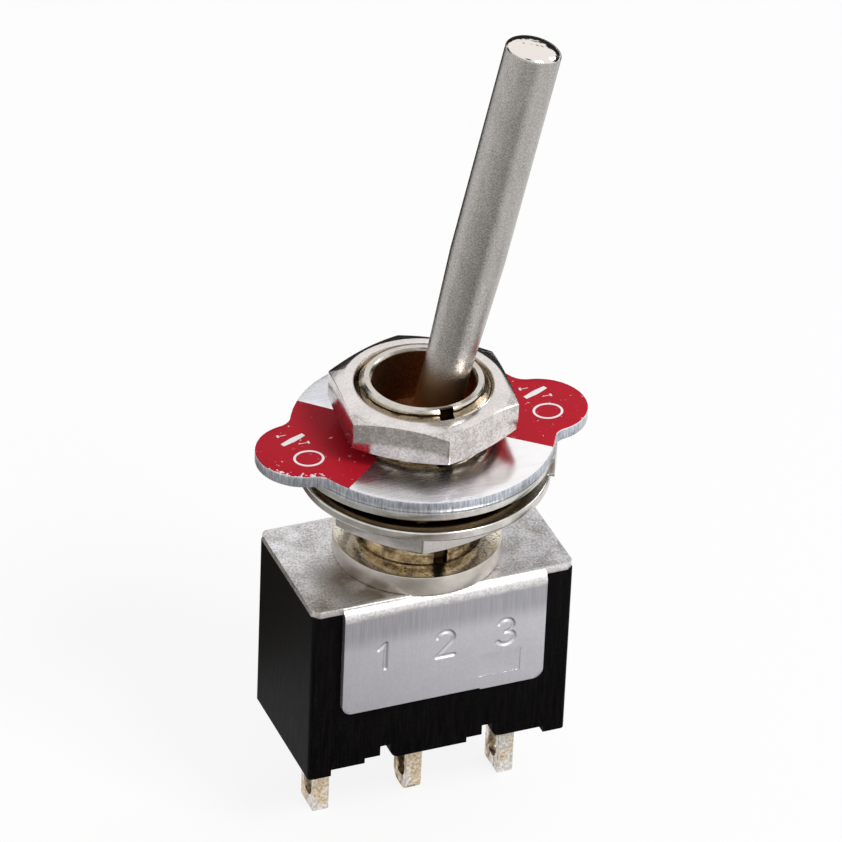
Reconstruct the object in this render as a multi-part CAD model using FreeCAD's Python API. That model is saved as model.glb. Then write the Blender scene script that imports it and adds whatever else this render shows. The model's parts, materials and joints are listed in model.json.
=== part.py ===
import FreeCAD, Part

import os
from math import asin, cos, degrees, radians, sin, sqrt, tan

# Miniature panel toggle switch, one pole, two positions, with its bushing hardware.
# Millimetres. The origin is the centre of the frame's top face, on the bushing's axis.
# +Z runs up the bushing, X is the way the lever swings, and the lever leans towards +X.

Vec = FreeCAD.Vector
ORIGIN = Vec(0, 0, 0)
UP = Vec(0, 0, 1)
SWING_AXIS = Vec(0, 1, 0)
same_place = 1e-6

# Moulded case
case_end_gap = 0.52
case_depth = 7.2
case_height = 9.0
case_corner_r = 0.25
case_wall = 0.9
floor_thickness = 2.55
foot_height = 0.35
foot_length = 1.15
notch_width = 0.52
notch_rise = 0.8
notch_round_r = 0.45
relief_width = 0.78
relief_rise = 0.27
notch_places = (-2.70, 2.52)

# Bent sheet frame
sheet = 0.35
bend_r = 0.55
ear_corner_r = 0.4
flap_width = 10.25
flap_drop = 6.0
flap_corner_r = 0.5
flap_step = 0.08
flap_step_x = 1.9
lock_mark_width = 2.1
lock_mark_height = 1.3
lock_mark_depth = 0.03
lock_mark_inset = 2.275
lock_mark_rise = 1.3

# Turned bushing
collar_proud = 0.05
collar_height = 1.03
collar_edge = 0.08
undercut_depth = 0.25
undercut_height = 0.4
thread_r = 3.15
thread_proud = 0.26
thread_chamfer = 0.35
mouth_r = 2.43
mouth_chamfer = 0.12
mouth_depth = 2.72
throat_r = 1.75
keyway_width = 0.7
keyway_depth = 0.5
spigot_flare = 0.25
spigot_wall = 0.3
stake_lip = 0.25
stake_height = 0.35

# Lever, leaning by half its throw either side of upright
pivot_height = 4.6
half_throw = 12.2
ball_r = 2.15
ball_shoulder = 1.2
neck_r = 1.12
taper_start = 5.6
taper_end = 11.5
grip_r = 1.32
lever_reach = 22.63
grip_edge = 0.38
barrel_r = 1.1
spring_bore_r = 0.72
spring_seat = 2.1
pin_r = 0.4
pin_length = 5.1

# Plunger and its spring inside the lever, the wire drawn with a few flats
plunger_length = 3.6
plunger_showing = 2.08
spring_wire_r = 0.11
spring_wire_flats = 6
spring_turns = 5

# Rocking contact
rocker_pivot_rise = 1.18
rocker_tilt = 8.0
rocker_sheet = 0.4
rocker_width = 2.0
rocker_end_margin = 0.05
rocker_trough = 2.4
rocker_rise = 0.12
bead_r = 0.3
contact_inset = 0.9
contact_r = 0.7
contact_head = 0.3
contact_dome_r = 1.6
rivet_r = 0.35

# Terminals
terminal_pitch = 4.8
terminal_sheet = 0.76
terminal_width = 1.7
terminal_reach = 4.2
terminal_tip_r = 0.15
centre_tip_r = 0.6
eyelet_width = 1.0
eyelet_length = 2.0
eyelet_margin = 0.6
tongue_margin = 0.12
cradle_length = 1.4

# Nuts and rings on the bushing
nut_across_flats = 8.0
nut_height = 1.95
nut_sides = 6
nut_face_inset = 0.25
nut_chamfer_angle = 20.0
nut_countersink = 0.17
back_nut_z = 2.45
back_nut_turn = 10.6
panel_nut_gap = 0.70
panel_nut_turn = 23.8
washer_inset = 0.25
washer_play = 0.2
washer_sheet = 0.5
washer_shift = 0.18
washer_edge = 0.08
lock_r = 5.3
lock_ring_r = 4.35
lock_play = 0.15
lock_sheet = 0.45
lock_teeth = 10
tooth_width = 1.05
tooth_twist = 28.0
locator_inset = 0.05
locator_sheet = 0.32
locator_play = 0.1
key_length = 0.4
tab_turn = -27.0
tab_width = 1.3
tab_clearance = 0.05
tab_corner_r = 0.3

# Indicator plate
plate_r = 6.25
plate_sheet = 0.6
plate_play = 0.25
plate_shift_x = 0.1
plate_shift_y = 0.15
lobe_r = 2.25
lobe_out = 2.0
lobe_fillet = 1.0

# Clearances
running = 0.05
slip = 0.02
touch = 0.01

# Sizes and places worked out from those above
case_length = 2 * (terminal_pitch + terminal_sheet / 2 + case_end_gap + case_wall)
contact_x = terminal_pitch - contact_inset
rocker_half_length = contact_x + contact_r + rocker_end_margin
collar_r = nut_across_flats / 2 + collar_proud
undercut_r = thread_r - undercut_depth
seat_r = ball_r + running
spigot_bore_r = seat_r + spigot_flare
spigot_r = spigot_bore_r + spigot_wall
stake_r = spigot_r + stake_lip
plunger_r = spring_bore_r - running
plunger_tip_r = plunger_r
washer_r = plate_r - washer_inset
locator_r = plate_r - locator_inset
case_top = -sheet
case_bottom = case_top - case_height
foot_bottom = case_bottom - foot_height
well_floor = case_bottom + floor_thickness
terminal_tip = foot_bottom - terminal_reach
flap_face = case_depth / 2 + sheet
tongue_top = well_floor + terminal_sheet
washer_z = back_nut_z + nut_height
lock_z = washer_z + washer_sheet
lock_height = tooth_width * sin(radians(tooth_twist)) + lock_sheet * cos(radians(tooth_twist))
locator_z = lock_z + lock_height
plate_z = locator_z + locator_sheet
panel_nut_z = plate_z + plate_sheet + panel_nut_gap
bushing_height = panel_nut_z + nut_height + thread_proud
rocker_pivot_z = well_floor + rocker_pivot_rise


# Solids in common use

def box(x0, x1, y0, y1, z0, z1):
    return Part.makeBox(x1 - x0, y1 - y0, z1 - z0, Vec(x0, y0, z0))


def rod(radius, z0, z1, x=0.0, y=0.0):
    return Part.makeCylinder(radius, z1 - z0, Vec(x, y, z0), UP)


def turned(profile):
    """Revolve a closed list of (radius, height) points about the Z axis."""
    points = [Vec(r, 0, z) for r, z in profile]
    wire = Part.makePolygon(points + [points[0]])
    return Part.Face(wire).revolve(ORIGIN, UP, 360)


def fillet_upright(solid, radius, wanted):
    """Round the upright edges that the test function picks by their place."""
    picked = []
    for edge in solid.Edges:
        a, b = edge.Vertexes[0].Point, edge.Vertexes[-1].Point
        upright = abs(a.x - b.x) < same_place and abs(a.y - b.y) < same_place < abs(a.z - b.z)
        if upright and wanted(a.x, a.y):
            picked.append(edge)
    return solid.makeFillet(radius, picked)


def lean(solid):
    """Turn an upright piece of the lever to the side on which it rests."""
    leaning = solid.copy()
    leaning.rotate(Vec(0, 0, pivot_height), SWING_AXIS, half_throw)
    return leaning


def tip_rocker(solid):
    """Tip a level piece of the rocker so that its -X end is down."""
    tipped = solid.copy()
    tipped.rotate(Vec(0, 0, rocker_pivot_z), SWING_AXIS, -rocker_tilt)
    return tipped


# Case and frame

def notch(x):
    """A slot across the base with a shallow relief beside it, as a tool to cut with."""
    left = x - notch_width / 2
    right = x + notch_width / 2
    y = case_depth
    top = case_bottom + notch_rise
    slot = box(left, right, -y, y, foot_bottom, top)
    relief = box(left - relief_width, left, -y, y, foot_bottom, case_bottom + relief_rise)
    corner = box(right, right + notch_round_r, -y, y, foot_bottom, case_bottom + notch_round_r)
    centre = Vec(right + notch_round_r, -y, case_bottom + notch_round_r)
    corner = corner.cut(Part.makeCylinder(notch_round_r, 2 * y, centre, SWING_AXIS))
    return slot.fuse(relief).fuse(corner)


def bend_relief(y):
    """The bevel on the case's top edge that clears the inside of the frame's bend."""
    size = bend_r - sheet + slip
    inward = -size if y > 0 else size
    corners = [Vec(0, y, case_top), Vec(0, y + inward, case_top), Vec(0, y, case_top - size)]
    bevel = Part.Face(Part.makePolygon(corners + [corners[0]])).extrude(Vec(flap_width, 0, 0))
    bevel.translate(Vec(-flap_width / 2, 0, 0))
    return bevel


def case():
    hx = case_length / 2
    hy = case_depth / 2
    body = box(-hx, hx, -hy, hy, foot_bottom, case_top)
    body = fillet_upright(body, case_corner_r, lambda x, y: True)
    between_feet = box(-hx + foot_length, hx - foot_length, -hy, hy, foot_bottom, case_bottom)
    body = body.cut(between_feet)
    for x in notch_places:
        body = body.cut(notch(x))
    well = box(-hx + case_wall, hx - case_wall, -hy + case_wall, hy - case_wall, well_floor, case_top)
    body = body.cut(well)
    for y in (-hy, hy):
        body = body.cut(bend_relief(y))
    body = body.cut(rod(stake_r + running, case_top - stake_height - running, case_top))
    gap = terminal_sheet / 2 + slip
    side = terminal_width / 2 + slip
    for x in (-terminal_pitch, 0, terminal_pitch):
        body = body.cut(box(x - gap, x + gap, -side, side, foot_bottom, well_floor))
    return body


def flap():
    """The front flap with its bend, as a bent strip that starts over the case's front face."""
    outer = bend_r
    inner = bend_r - sheet
    face = -flap_face
    low = -flap_drop
    start = face + outer
    bend = Vec(0, start, -outer)
    halfway = Vec(0, -1, 1).normalize()
    up = Vec(0, start, 0)
    outer_mid = bend + halfway * outer
    inner_mid = bend + halfway * inner
    edges = [
        Part.Arc(up, outer_mid, Vec(0, face, -outer)).toShape(),
        Part.LineSegment(Vec(0, face, -outer), Vec(0, face, low - flap_step)).toShape(),
        Part.LineSegment(Vec(0, face, low - flap_step), Vec(0, face + sheet, low - flap_step)).toShape(),
        Part.LineSegment(Vec(0, face + sheet, low - flap_step), Vec(0, face + sheet, -outer)).toShape(),
        Part.Arc(Vec(0, face + sheet, -outer), inner_mid, Vec(0, start, -sheet)).toShape(),
        Part.LineSegment(Vec(0, start, -sheet), up).toShape(),
    ]
    strip = Part.Face(Part.Wire(edges)).extrude(Vec(flap_width, 0, 0))
    strip.translate(Vec(-flap_width / 2, 0, 0))
    short_side = box(-flap_width / 2, flap_step_x, face, face + sheet, low - flap_step, low)
    strip = strip.cut(short_side)
    corners = []
    for edge in strip.Edges:
        a, b = edge.Vertexes[0].Point, edge.Vertexes[-1].Point
        across = abs(a.z - b.z) < same_place and abs(a.y - b.y) > sheet / 2
        if across and a.z < low + same_place and abs(a.x) > flap_width / 2 - same_place:
            corners.append(edge)
    strip = strip.makeFillet(flap_corner_r, corners)
    mark_x = flap_width / 2 - lock_mark_inset
    mark_z = low + lock_mark_rise
    mark = box(
        mark_x - lock_mark_width / 2,
        mark_x + lock_mark_width / 2,
        face,
        face + lock_mark_depth,
        mark_z - lock_mark_height / 2,
        mark_z + lock_mark_height / 2,
    )
    return strip.cut(mark)


def frame():
    hx = case_length / 2
    hy = case_depth / 2
    top = box(-hx, hx, -hy, hy, -sheet, 0)
    top = fillet_upright(top, ear_corner_r, lambda x, y: True)
    front = flap()
    back = front.copy()
    back.rotate(ORIGIN, UP, 180)
    for side in (front, back):
        top = top.cut(side.common(top))
        top = top.fuse(side)
    hole = rod(spigot_r, -sheet, 0)
    return top.cut(hole).removeSplitter()


# Bushing

def bushing():
    ball_z = pivot_height
    throat_z = ball_z + sqrt(seat_r ** 2 - throat_r ** 2)
    floor_z = bushing_height - mouth_depth
    stake_z = -sheet - stake_height
    body = turned([
        (0, stake_z),
        (stake_r, stake_z),
        (stake_r, -sheet),
        (spigot_r, -sheet),
        (spigot_r, 0),
        (collar_r - collar_edge, 0),
        (collar_r, collar_edge),
        (collar_r, collar_height - collar_edge),
        (collar_r - collar_edge, collar_height),
        (undercut_r, collar_height),
        (undercut_r, collar_height + undercut_height),
        (thread_r, collar_height + undercut_height + thread_r - undercut_r),
        (thread_r, bushing_height - thread_chamfer),
        (thread_r - thread_chamfer, bushing_height),
        (0, bushing_height),
    ])
    bore = turned([
        (0, throat_z),
        (throat_r, throat_z),
        (mouth_r, floor_z),
        (mouth_r, bushing_height - mouth_chamfer),
        (mouth_r + mouth_chamfer, bushing_height),
        (0, bushing_height),
    ])
    lower = turned([(0, stake_z), (spigot_bore_r, stake_z), (seat_r, ball_z), (0, ball_z)])
    body = body.cut(bore).cut(lower).cut(Part.makeSphere(seat_r, Vec(0, 0, ball_z)))
    key_face = -thread_r + keyway_depth
    keyway = box(-keyway_width / 2, keyway_width / 2, -collar_r, key_face, collar_height, bushing_height)
    body = body.cut(keyway)
    slot_r = pin_r + slip
    slot_reach = pin_length / 2 + slip
    slot = box(-slot_r, slot_r, -slot_reach, slot_reach, stake_z, ball_z)
    start = Vec(0, -slot_reach, ball_z)
    slot = slot.fuse(Part.makeCylinder(slot_r, 2 * slot_reach, start, SWING_AXIS))
    return body.cut(slot)


# Lever, pin, spring and plunger, drawn upright about the pivot and then leant over

def lever():
    z = pivot_height
    barrel_reach = rocker_shape()["reach"] - plunger_showing
    stem = turned([
        (0, z - barrel_reach),
        (barrel_r, z - barrel_reach),
        (barrel_r, z),
        (neck_r, z),
        (neck_r, z + taper_start),
        (grip_r, z + taper_end),
        (grip_r, z + lever_reach),
        (0, z + lever_reach),
    ])
    tip_edges = [e for e in stem.Edges if e.Closed and abs(e.BoundBox.ZMin - z - lever_reach) < same_place]
    stem = stem.makeFillet(grip_edge, tip_edges)
    ball = Part.makeSphere(ball_r, Vec(0, 0, z)).common(rod(ball_r, z - ball_shoulder, z + ball_r))
    solid = stem.fuse(ball)
    solid = solid.cut(rod(spring_bore_r, z - barrel_reach, z - spring_seat))
    cross_hole = Part.makeCylinder(pin_r, 2 * ball_r, Vec(0, -ball_r, z), SWING_AXIS)
    return lean(solid.cut(cross_hole).removeSplitter())


def lever_pin():
    start = Vec(0, -pin_length / 2, pivot_height)
    return lean(Part.makeCylinder(pin_r, pin_length, start, SWING_AXIS))


def rocker_shape():
    """Work out the trough that lets the plunger's tip ride along the rocker.

    Seen from the rocker, the tip runs on an arc. Its radius and its lowest point come from
    the lever's throw and the rocker's tilt, and the trough is that arc moved out by the tip.
    """
    lowest = rocker_rise + rocker_sheet + plunger_tip_r + running
    reach = pivot_height - rocker_pivot_z - lowest
    throw = radians(half_throw)
    tilt = radians(rocker_tilt)
    x = -reach * sin(throw)
    z = lowest + reach * (1 - cos(throw))
    end_x = x * cos(tilt) + z * sin(tilt)
    rise = -x * sin(tilt) + z * cos(tilt) - lowest
    arc_r = (end_x ** 2 + rise ** 2) / (2 * rise)
    return {"reach": reach, "centre": lowest + arc_r, "radius": arc_r + plunger_tip_r + running}


def plunger():
    z = pivot_height - rocker_shape()["reach"]
    stem = rod(plunger_r, z, z + plunger_length)
    return lean(stem.fuse(Part.makeSphere(plunger_tip_r, Vec(0, 0, z))).removeSplitter())


def wire_section(coil_r):
    """The closed outline of the spring's wire where its coil starts."""
    points = []
    for i in range(spring_wire_flats):
        turn = radians(i * 360 / spring_wire_flats)
        points.append(Vec(coil_r + spring_wire_r * cos(turn), 0, spring_wire_r * sin(turn)))
    return Part.makePolygon(points + [points[0]])


def lever_spring():
    top = pivot_height - spring_seat - spring_wire_r
    low = pivot_height - rocker_shape()["reach"] + plunger_length + spring_wire_r
    coil_r = spring_bore_r - running - spring_wire_r
    pitch = (top - low) / spring_turns
    helix = Part.makeHelix(pitch, top - low, coil_r)
    section = wire_section(coil_r)
    coil = Part.Wire(helix.Edges).makePipeShell([section], True, True)
    coil.translate(Vec(0, 0, low))
    return lean(coil)


# Rocking contact with its two contact rivets

def rocker():
    shape = rocker_shape()
    level = rocker_pivot_z
    centre = level + shape["centre"]
    top_r = shape["radius"]
    low_r = top_r + rocker_sheet
    flat_top = centre - sqrt(top_r ** 2 - rocker_trough ** 2)
    flat_low = flat_top - rocker_sheet
    low_x = sqrt(low_r ** 2 - (centre - flat_low) ** 2)
    end = rocker_half_length
    y = -rocker_width / 2

    def line(x0, z0, x1, z1):
        return Part.LineSegment(Vec(x0, y, z0), Vec(x1, y, z1)).toShape()

    def arc(x, z, lowest):
        return Part.Arc(Vec(x, y, z), Vec(0, y, lowest), Vec(-x, y, z)).toShape()

    outline = Part.Wire([
        line(-end, flat_top, -rocker_trough, flat_top),
        arc(-rocker_trough, flat_top, centre - top_r),
        line(rocker_trough, flat_top, end, flat_top),
        line(end, flat_top, end, flat_low),
        line(end, flat_low, low_x, flat_low),
        arc(low_x, flat_low, centre - low_r),
        line(-low_x, flat_low, -end, flat_low),
        line(-end, flat_low, -end, flat_top),
    ])
    strip = Part.Face(outline).extrude(Vec(0, rocker_width, 0))
    bead = Part.makeCylinder(bead_r, terminal_width, Vec(0, -terminal_width / 2, level), SWING_AXIS)
    strip = strip.fuse(bead)
    for x in (-contact_x, contact_x):
        strip = strip.cut(rod(rivet_r, flat_low, flat_top, x))
    return tip_rocker(strip.removeSplitter())


def rocker_flat_low():
    shape = rocker_shape()
    centre = rocker_pivot_z + shape["centre"]
    return centre - sqrt(shape["radius"] ** 2 - rocker_trough ** 2) - rocker_sheet


def rocker_contact(x):
    """A domed rivet under one end of the rocker, with its shank through the strip."""
    under = rocker_flat_low()
    head = rod(contact_r, under - contact_head, under, x)
    dome = Part.makeSphere(contact_dome_r, Vec(x, 0, under - contact_head + contact_dome_r))
    shank = rod(rivet_r, under, under + rocker_sheet, x)
    return tip_rocker(head.common(dome).fuse(shank).removeSplitter())


def fixed_contact_top():
    """The height at which the lowered end's dome meets the fixed contact."""
    tilt = radians(rocker_tilt)
    dome = rocker_flat_low() - contact_head + contact_dome_r - rocker_pivot_z
    low = dome * cos(tilt) - contact_x * sin(tilt) - contact_dome_r
    return rocker_pivot_z + low - touch


def fixed_contact(x):
    head = rod(contact_r, tongue_top, fixed_contact_top(), x)
    shank = rod(rivet_r, well_floor, tongue_top, x)
    return head.fuse(shank).removeSplitter()


# Terminals

def terminal_lug(x, top, tip_r):
    """A flat lug with an oblong eyelet, from its tip up to a given height."""
    half = terminal_sheet / 2
    side = terminal_width / 2
    lug = box(x - half, x + half, -side, side, terminal_tip, top)
    tips = []
    for edge in lug.Edges:
        a, b = edge.Vertexes[0].Point, edge.Vertexes[-1].Point
        at_tip = max(abs(a.z - terminal_tip), abs(b.z - terminal_tip)) < same_place
        if at_tip and abs(a.y - b.y) < same_place:
            tips.append(edge)
    lug = lug.makeFillet(tip_r, tips)
    hole_r = eyelet_width / 2
    low = terminal_tip + eyelet_margin + hole_r
    high = low + eyelet_length - eyelet_width
    through = Vec(1, 0, 0)
    eyelet = box(x - half, x + half, -hole_r, hole_r, low, high)
    for z in (low, high):
        eyelet = eyelet.fuse(Part.makeCylinder(hole_r, terminal_sheet, Vec(x - half, 0, z), through))
    return lug.cut(eyelet)


def outer_terminal(x):
    """An end terminal: its tongue is bent inwards over the well's floor to carry a contact."""
    side = terminal_width / 2
    inward = -1 if x > 0 else 1
    outer_x = x - inward * terminal_sheet / 2
    inner_x = -inward * (contact_x - contact_r - tongue_margin)
    tongue = box(min(outer_x, inner_x), max(outer_x, inner_x), -side, side, well_floor, tongue_top)
    solid = terminal_lug(x, well_floor, terminal_tip_r).fuse(tongue).removeSplitter()
    bend = []
    for edge in solid.Edges:
        a, b = edge.Vertexes[0].Point, edge.Vertexes[-1].Point
        at_top = max(abs(a.z - tongue_top), abs(b.z - tongue_top)) < same_place
        if at_top and max(abs(a.x - outer_x), abs(b.x - outer_x)) < same_place:
            bend.append(edge)
    solid = solid.makeFillet(terminal_sheet / 2, bend)
    rivet_x = -inward * contact_x
    return solid.cut(rod(rivet_r, well_floor, tongue_top, rivet_x))


def centre_terminal():
    """The common terminal: its head is a cradle with a groove for the rocker's bead."""
    side = terminal_width / 2
    half = cradle_length / 2
    cradle = box(-half, half, -side, side, well_floor, rocker_pivot_z - running)
    solid = terminal_lug(0, well_floor, centre_tip_r).fuse(cradle)
    start = Vec(0, -side, rocker_pivot_z)
    return solid.cut(Part.makeCylinder(bead_r + slip, terminal_width, start, SWING_AXIS)).removeSplitter()


# Nuts, washers and the indicator plate

def nut(z, turn):
    side_turn = 360 / nut_sides
    corner_r = nut_across_flats / 2 / cos(radians(side_turn / 2))
    corners = []
    for i in range(nut_sides):
        corner = radians(i * side_turn)
        corners.append(Vec(corner_r * cos(corner), corner_r * sin(corner), z))
    blank = Part.Face(Part.makePolygon(corners + [corners[0]])).extrude(Vec(0, 0, nut_height))
    face_r = nut_across_flats / 2 - nut_face_inset
    drop = (corner_r - face_r) * tan(radians(nut_chamfer_angle))
    top = z + nut_height
    turning = turned([
        (0, z),
        (face_r, z),
        (corner_r, z + drop),
        (corner_r, top - drop),
        (face_r, top),
        (0, top),
    ])
    sink = nut_countersink
    hole = turned([
        (0, z),
        (thread_r + sink, z),
        (thread_r, z + sink),
        (thread_r, top - sink),
        (thread_r + sink, top),
        (0, top),
    ])
    solid = blank.common(turning).cut(hole)
    solid.rotate(ORIGIN, UP, turn)
    return solid


def flat_washer():
    top = washer_z + washer_sheet
    ring = turned([
        (thread_r + washer_play, washer_z),
        (washer_r - washer_edge, washer_z),
        (washer_r, washer_z + washer_edge),
        (washer_r, top - washer_edge),
        (washer_r - washer_edge, top),
        (thread_r + washer_play, top),
    ])
    ring.translate(Vec(washer_shift, 0, 0))
    return ring


def lock_washer():
    """A flat ring with twisted teeth inside, each turned about its own radius."""
    middle = lock_z + lock_height / 2
    low = middle - lock_sheet / 2
    top = low + lock_sheet
    ring = rod(lock_r, low, top).cut(rod(lock_ring_r, low, top))
    half = tooth_width / 2
    for i in range(lock_teeth):
        tooth = box(thread_r + lock_play, lock_ring_r + lock_sheet, -half, half, low, top)
        tooth.rotate(Vec(0, 0, middle), Vec(1, 0, 0), tooth_twist)
        tooth.rotate(ORIGIN, UP, i * 360 / lock_teeth)
        ring = ring.fuse(tooth)
    return ring


def locating_ring():
    """A thin ring with a key in the bushing's keyway and a tab turned down at its rim."""
    top = locator_z + locator_sheet
    ring = rod(locator_r, locator_z, top).cut(rod(thread_r + locator_play, locator_z, top))
    key_half = keyway_width / 2 - slip
    key = box(-key_half, key_half, -thread_r - 2 * locator_play, -thread_r + key_length, locator_z, top)
    tab = box(
        locator_r - locator_sheet / 2,
        locator_r + locator_sheet / 2,
        -tab_width / 2,
        tab_width / 2,
        lock_z + tab_clearance,
        top,
    )
    low_edges = []
    for edge in tab.Edges:
        a, b = edge.Vertexes[0].Point, edge.Vertexes[-1].Point
        if max(a.z, b.z) < locator_z and abs(a.y - b.y) < same_place:
            low_edges.append(edge)
    tab = tab.makeFillet(tab_corner_r, low_edges)
    tab.rotate(ORIGIN, UP, tab_turn)
    return ring.fuse(key).fuse(tab).removeSplitter()


def indicator_plate():
    """A disc with a round lobe on each side, filleted where lobe and disc meet."""
    top = plate_z + plate_sheet
    lobe_x = plate_r + lobe_out - lobe_r
    meeting_x = (plate_r ** 2 - lobe_r ** 2 + lobe_x ** 2) / (2 * lobe_x)
    solid = rod(plate_r, plate_z, top)
    for side in (-1, 1):
        solid = solid.fuse(rod(lobe_r, plate_z, top, side * lobe_x))
    solid = solid.removeSplitter()
    solid = fillet_upright(solid, lobe_fillet, lambda x, y: abs(abs(x) - meeting_x) < same_place)
    solid = solid.cut(rod(thread_r + plate_play, plate_z, top))
    solid.translate(Vec(plate_shift_x, plate_shift_y, 0))
    return solid


nodes = {
    "case": case(),
    "frame": frame(),
    "bushing": bushing(),
    "lever": lever(),
    "lever_pin": lever_pin(),
    "lever_spring": lever_spring(),
    "plunger": plunger(),
    "rocker": rocker(),
    "rocker_contact_left": rocker_contact(-contact_x),
    "rocker_contact_right": rocker_contact(contact_x),
    "fixed_contact_left": fixed_contact(-contact_x),
    "fixed_contact_right": fixed_contact(contact_x),
    "terminal_left": outer_terminal(-terminal_pitch),
    "terminal_centre": centre_terminal(),
    "terminal_right": outer_terminal(terminal_pitch),
    "back_nut": nut(back_nut_z, back_nut_turn),
    "flat_washer": flat_washer(),
    "lock_washer": lock_washer(),
    "locating_ring": locating_ring(),
    "indicator_plate": indicator_plate(),
    "panel_nut": nut(panel_nut_z, panel_nut_turn),
}

os.makedirs("parts", exist_ok=True)
for name, shape in nodes.items():
    shape.exportStep("parts/" + name + ".step")
    print(name, "solids", len(shape.Solids), "volume", round(shape.Volume, 3), "valid", shape.isValid())

trough = rocker_shape()
print("plunger reach", round(trough["reach"], 3), "trough radius", round(trough["radius"], 3))
print("rocker end angle", round(degrees(asin(rocker_trough / trough["radius"])), 1))
print("fixed contact height", round(fixed_contact_top() - tongue_top, 3))
print("terminal tip", terminal_tip, "plate top", round(plate_z + plate_sheet, 3))
print("panel nut top", round(panel_nut_z + nut_height, 3))
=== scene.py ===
# %% [markdown]
# A miniature panel toggle switch, dressed for the camera. The CAD model has every solid in its
# true size and place, so it is loaded first, as a fixed frame. The cells after it add what the
# solids leave out: screw threads, softened edges, print, stamped numbers and plated metal.

# %% Load the frame
import json
import math

import bmesh
import bpy
from mathutils import Matrix, Vector, noise

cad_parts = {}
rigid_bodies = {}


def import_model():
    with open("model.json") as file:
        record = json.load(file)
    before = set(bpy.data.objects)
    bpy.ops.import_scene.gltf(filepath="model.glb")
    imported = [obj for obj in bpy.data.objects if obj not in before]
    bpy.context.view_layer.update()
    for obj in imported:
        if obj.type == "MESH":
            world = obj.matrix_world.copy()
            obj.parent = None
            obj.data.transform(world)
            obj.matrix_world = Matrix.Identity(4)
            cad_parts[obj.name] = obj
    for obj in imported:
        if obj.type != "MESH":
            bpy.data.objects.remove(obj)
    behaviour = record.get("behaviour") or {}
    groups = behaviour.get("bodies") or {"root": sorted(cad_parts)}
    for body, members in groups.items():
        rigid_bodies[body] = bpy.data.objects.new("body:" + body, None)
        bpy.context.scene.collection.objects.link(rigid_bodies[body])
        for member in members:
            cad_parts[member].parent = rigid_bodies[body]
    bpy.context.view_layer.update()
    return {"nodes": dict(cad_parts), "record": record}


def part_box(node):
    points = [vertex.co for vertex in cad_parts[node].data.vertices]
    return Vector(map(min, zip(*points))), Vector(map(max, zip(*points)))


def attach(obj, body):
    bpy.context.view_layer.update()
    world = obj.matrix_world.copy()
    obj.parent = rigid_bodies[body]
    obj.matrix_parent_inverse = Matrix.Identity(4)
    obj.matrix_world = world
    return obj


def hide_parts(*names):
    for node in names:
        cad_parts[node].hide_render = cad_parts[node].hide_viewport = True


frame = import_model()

in_scene = bpy.context.scene.collection.objects
nodes = frame["nodes"]
print("pieces in the frame:", len(nodes))

# %% [markdown]
# Switches are drawn in millimetres and Blender works in metres. Every size below is written in
# millimetres and turned into metres once, when a mesh is finished. The main heights and radii are
# read from the frame, so that a dressed piece lands exactly where its plain solid was.

# %% Units and the sizes read from the frame
mm = 0.001
whole_turn = 2 * math.pi


def span(node):
    """The lowest and highest corners of a CAD piece, in millimetres."""
    low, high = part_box(node)
    return low / mm, high / mm


bushing_low, bushing_high = span("bushing")
collar_r = bushing_high.x
plate_low, plate_high = span("indicator_plate")
nut_top = span("panel_nut")[1].z
frame_low, frame_high = span("frame")
floor_z = span("terminal_left")[0].z
print("bushing top", round(bushing_high.z, 2), "plate top", round(plate_high.z, 2))

# %% [markdown]
# The camera's angles and distance were worked out from the edges of the case and the bushing in
# the photograph. A long lens far away keeps the sides almost parallel, as in a catalogue picture.
# The three directions of the camera are the columns of its matrix.

# %% Camera
camera_turn = math.radians(-22.98)
camera_height = math.radians(33.71)
camera_roll = math.radians(2.44)
camera_distance = 311.12
aim_right = 0.20
aim_up = 5.96
picture_px = 842
focal_px = 6560.7
sensor_mm = 36.0

back = Vector((
    math.sin(camera_turn) * math.cos(camera_height),
    -math.cos(camera_turn) * math.cos(camera_height),
    math.sin(camera_height),
))
level_right = (-back).cross(Vector((0, 0, 1))).normalized()
level_up = level_right.cross(-back)
right = math.cos(camera_roll) * level_right + math.sin(camera_roll) * level_up
up = -math.sin(camera_roll) * level_right + math.cos(camera_roll) * level_up

lens = bpy.data.cameras.new("camera")
lens.sensor_width = sensor_mm
lens.lens = focal_px / picture_px * sensor_mm
lens.clip_start = 0.01
lens.clip_end = 20
camera = bpy.data.objects.new("camera", lens)
camera_place = (right * aim_right + up * aim_up + back * camera_distance) * mm
facing = Matrix((right, up, back)).transposed().to_4x4()
camera.matrix_world = Matrix.Translation(camera_place) @ facing
in_scene.link(camera)
bpy.context.scene.camera = camera
bpy.context.scene.view_settings.view_transform = "Standard"
print("lens", round(lens.lens, 1), "mm")

# %% [markdown]
# A material in Blender is a graph of small nodes. Drawn by hand it is slow to read, so the three
# classes below let a finish be written as a sum. A Wire is the output of a node, and adding or
# multiplying two wires puts in the Math node that does it.

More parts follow.
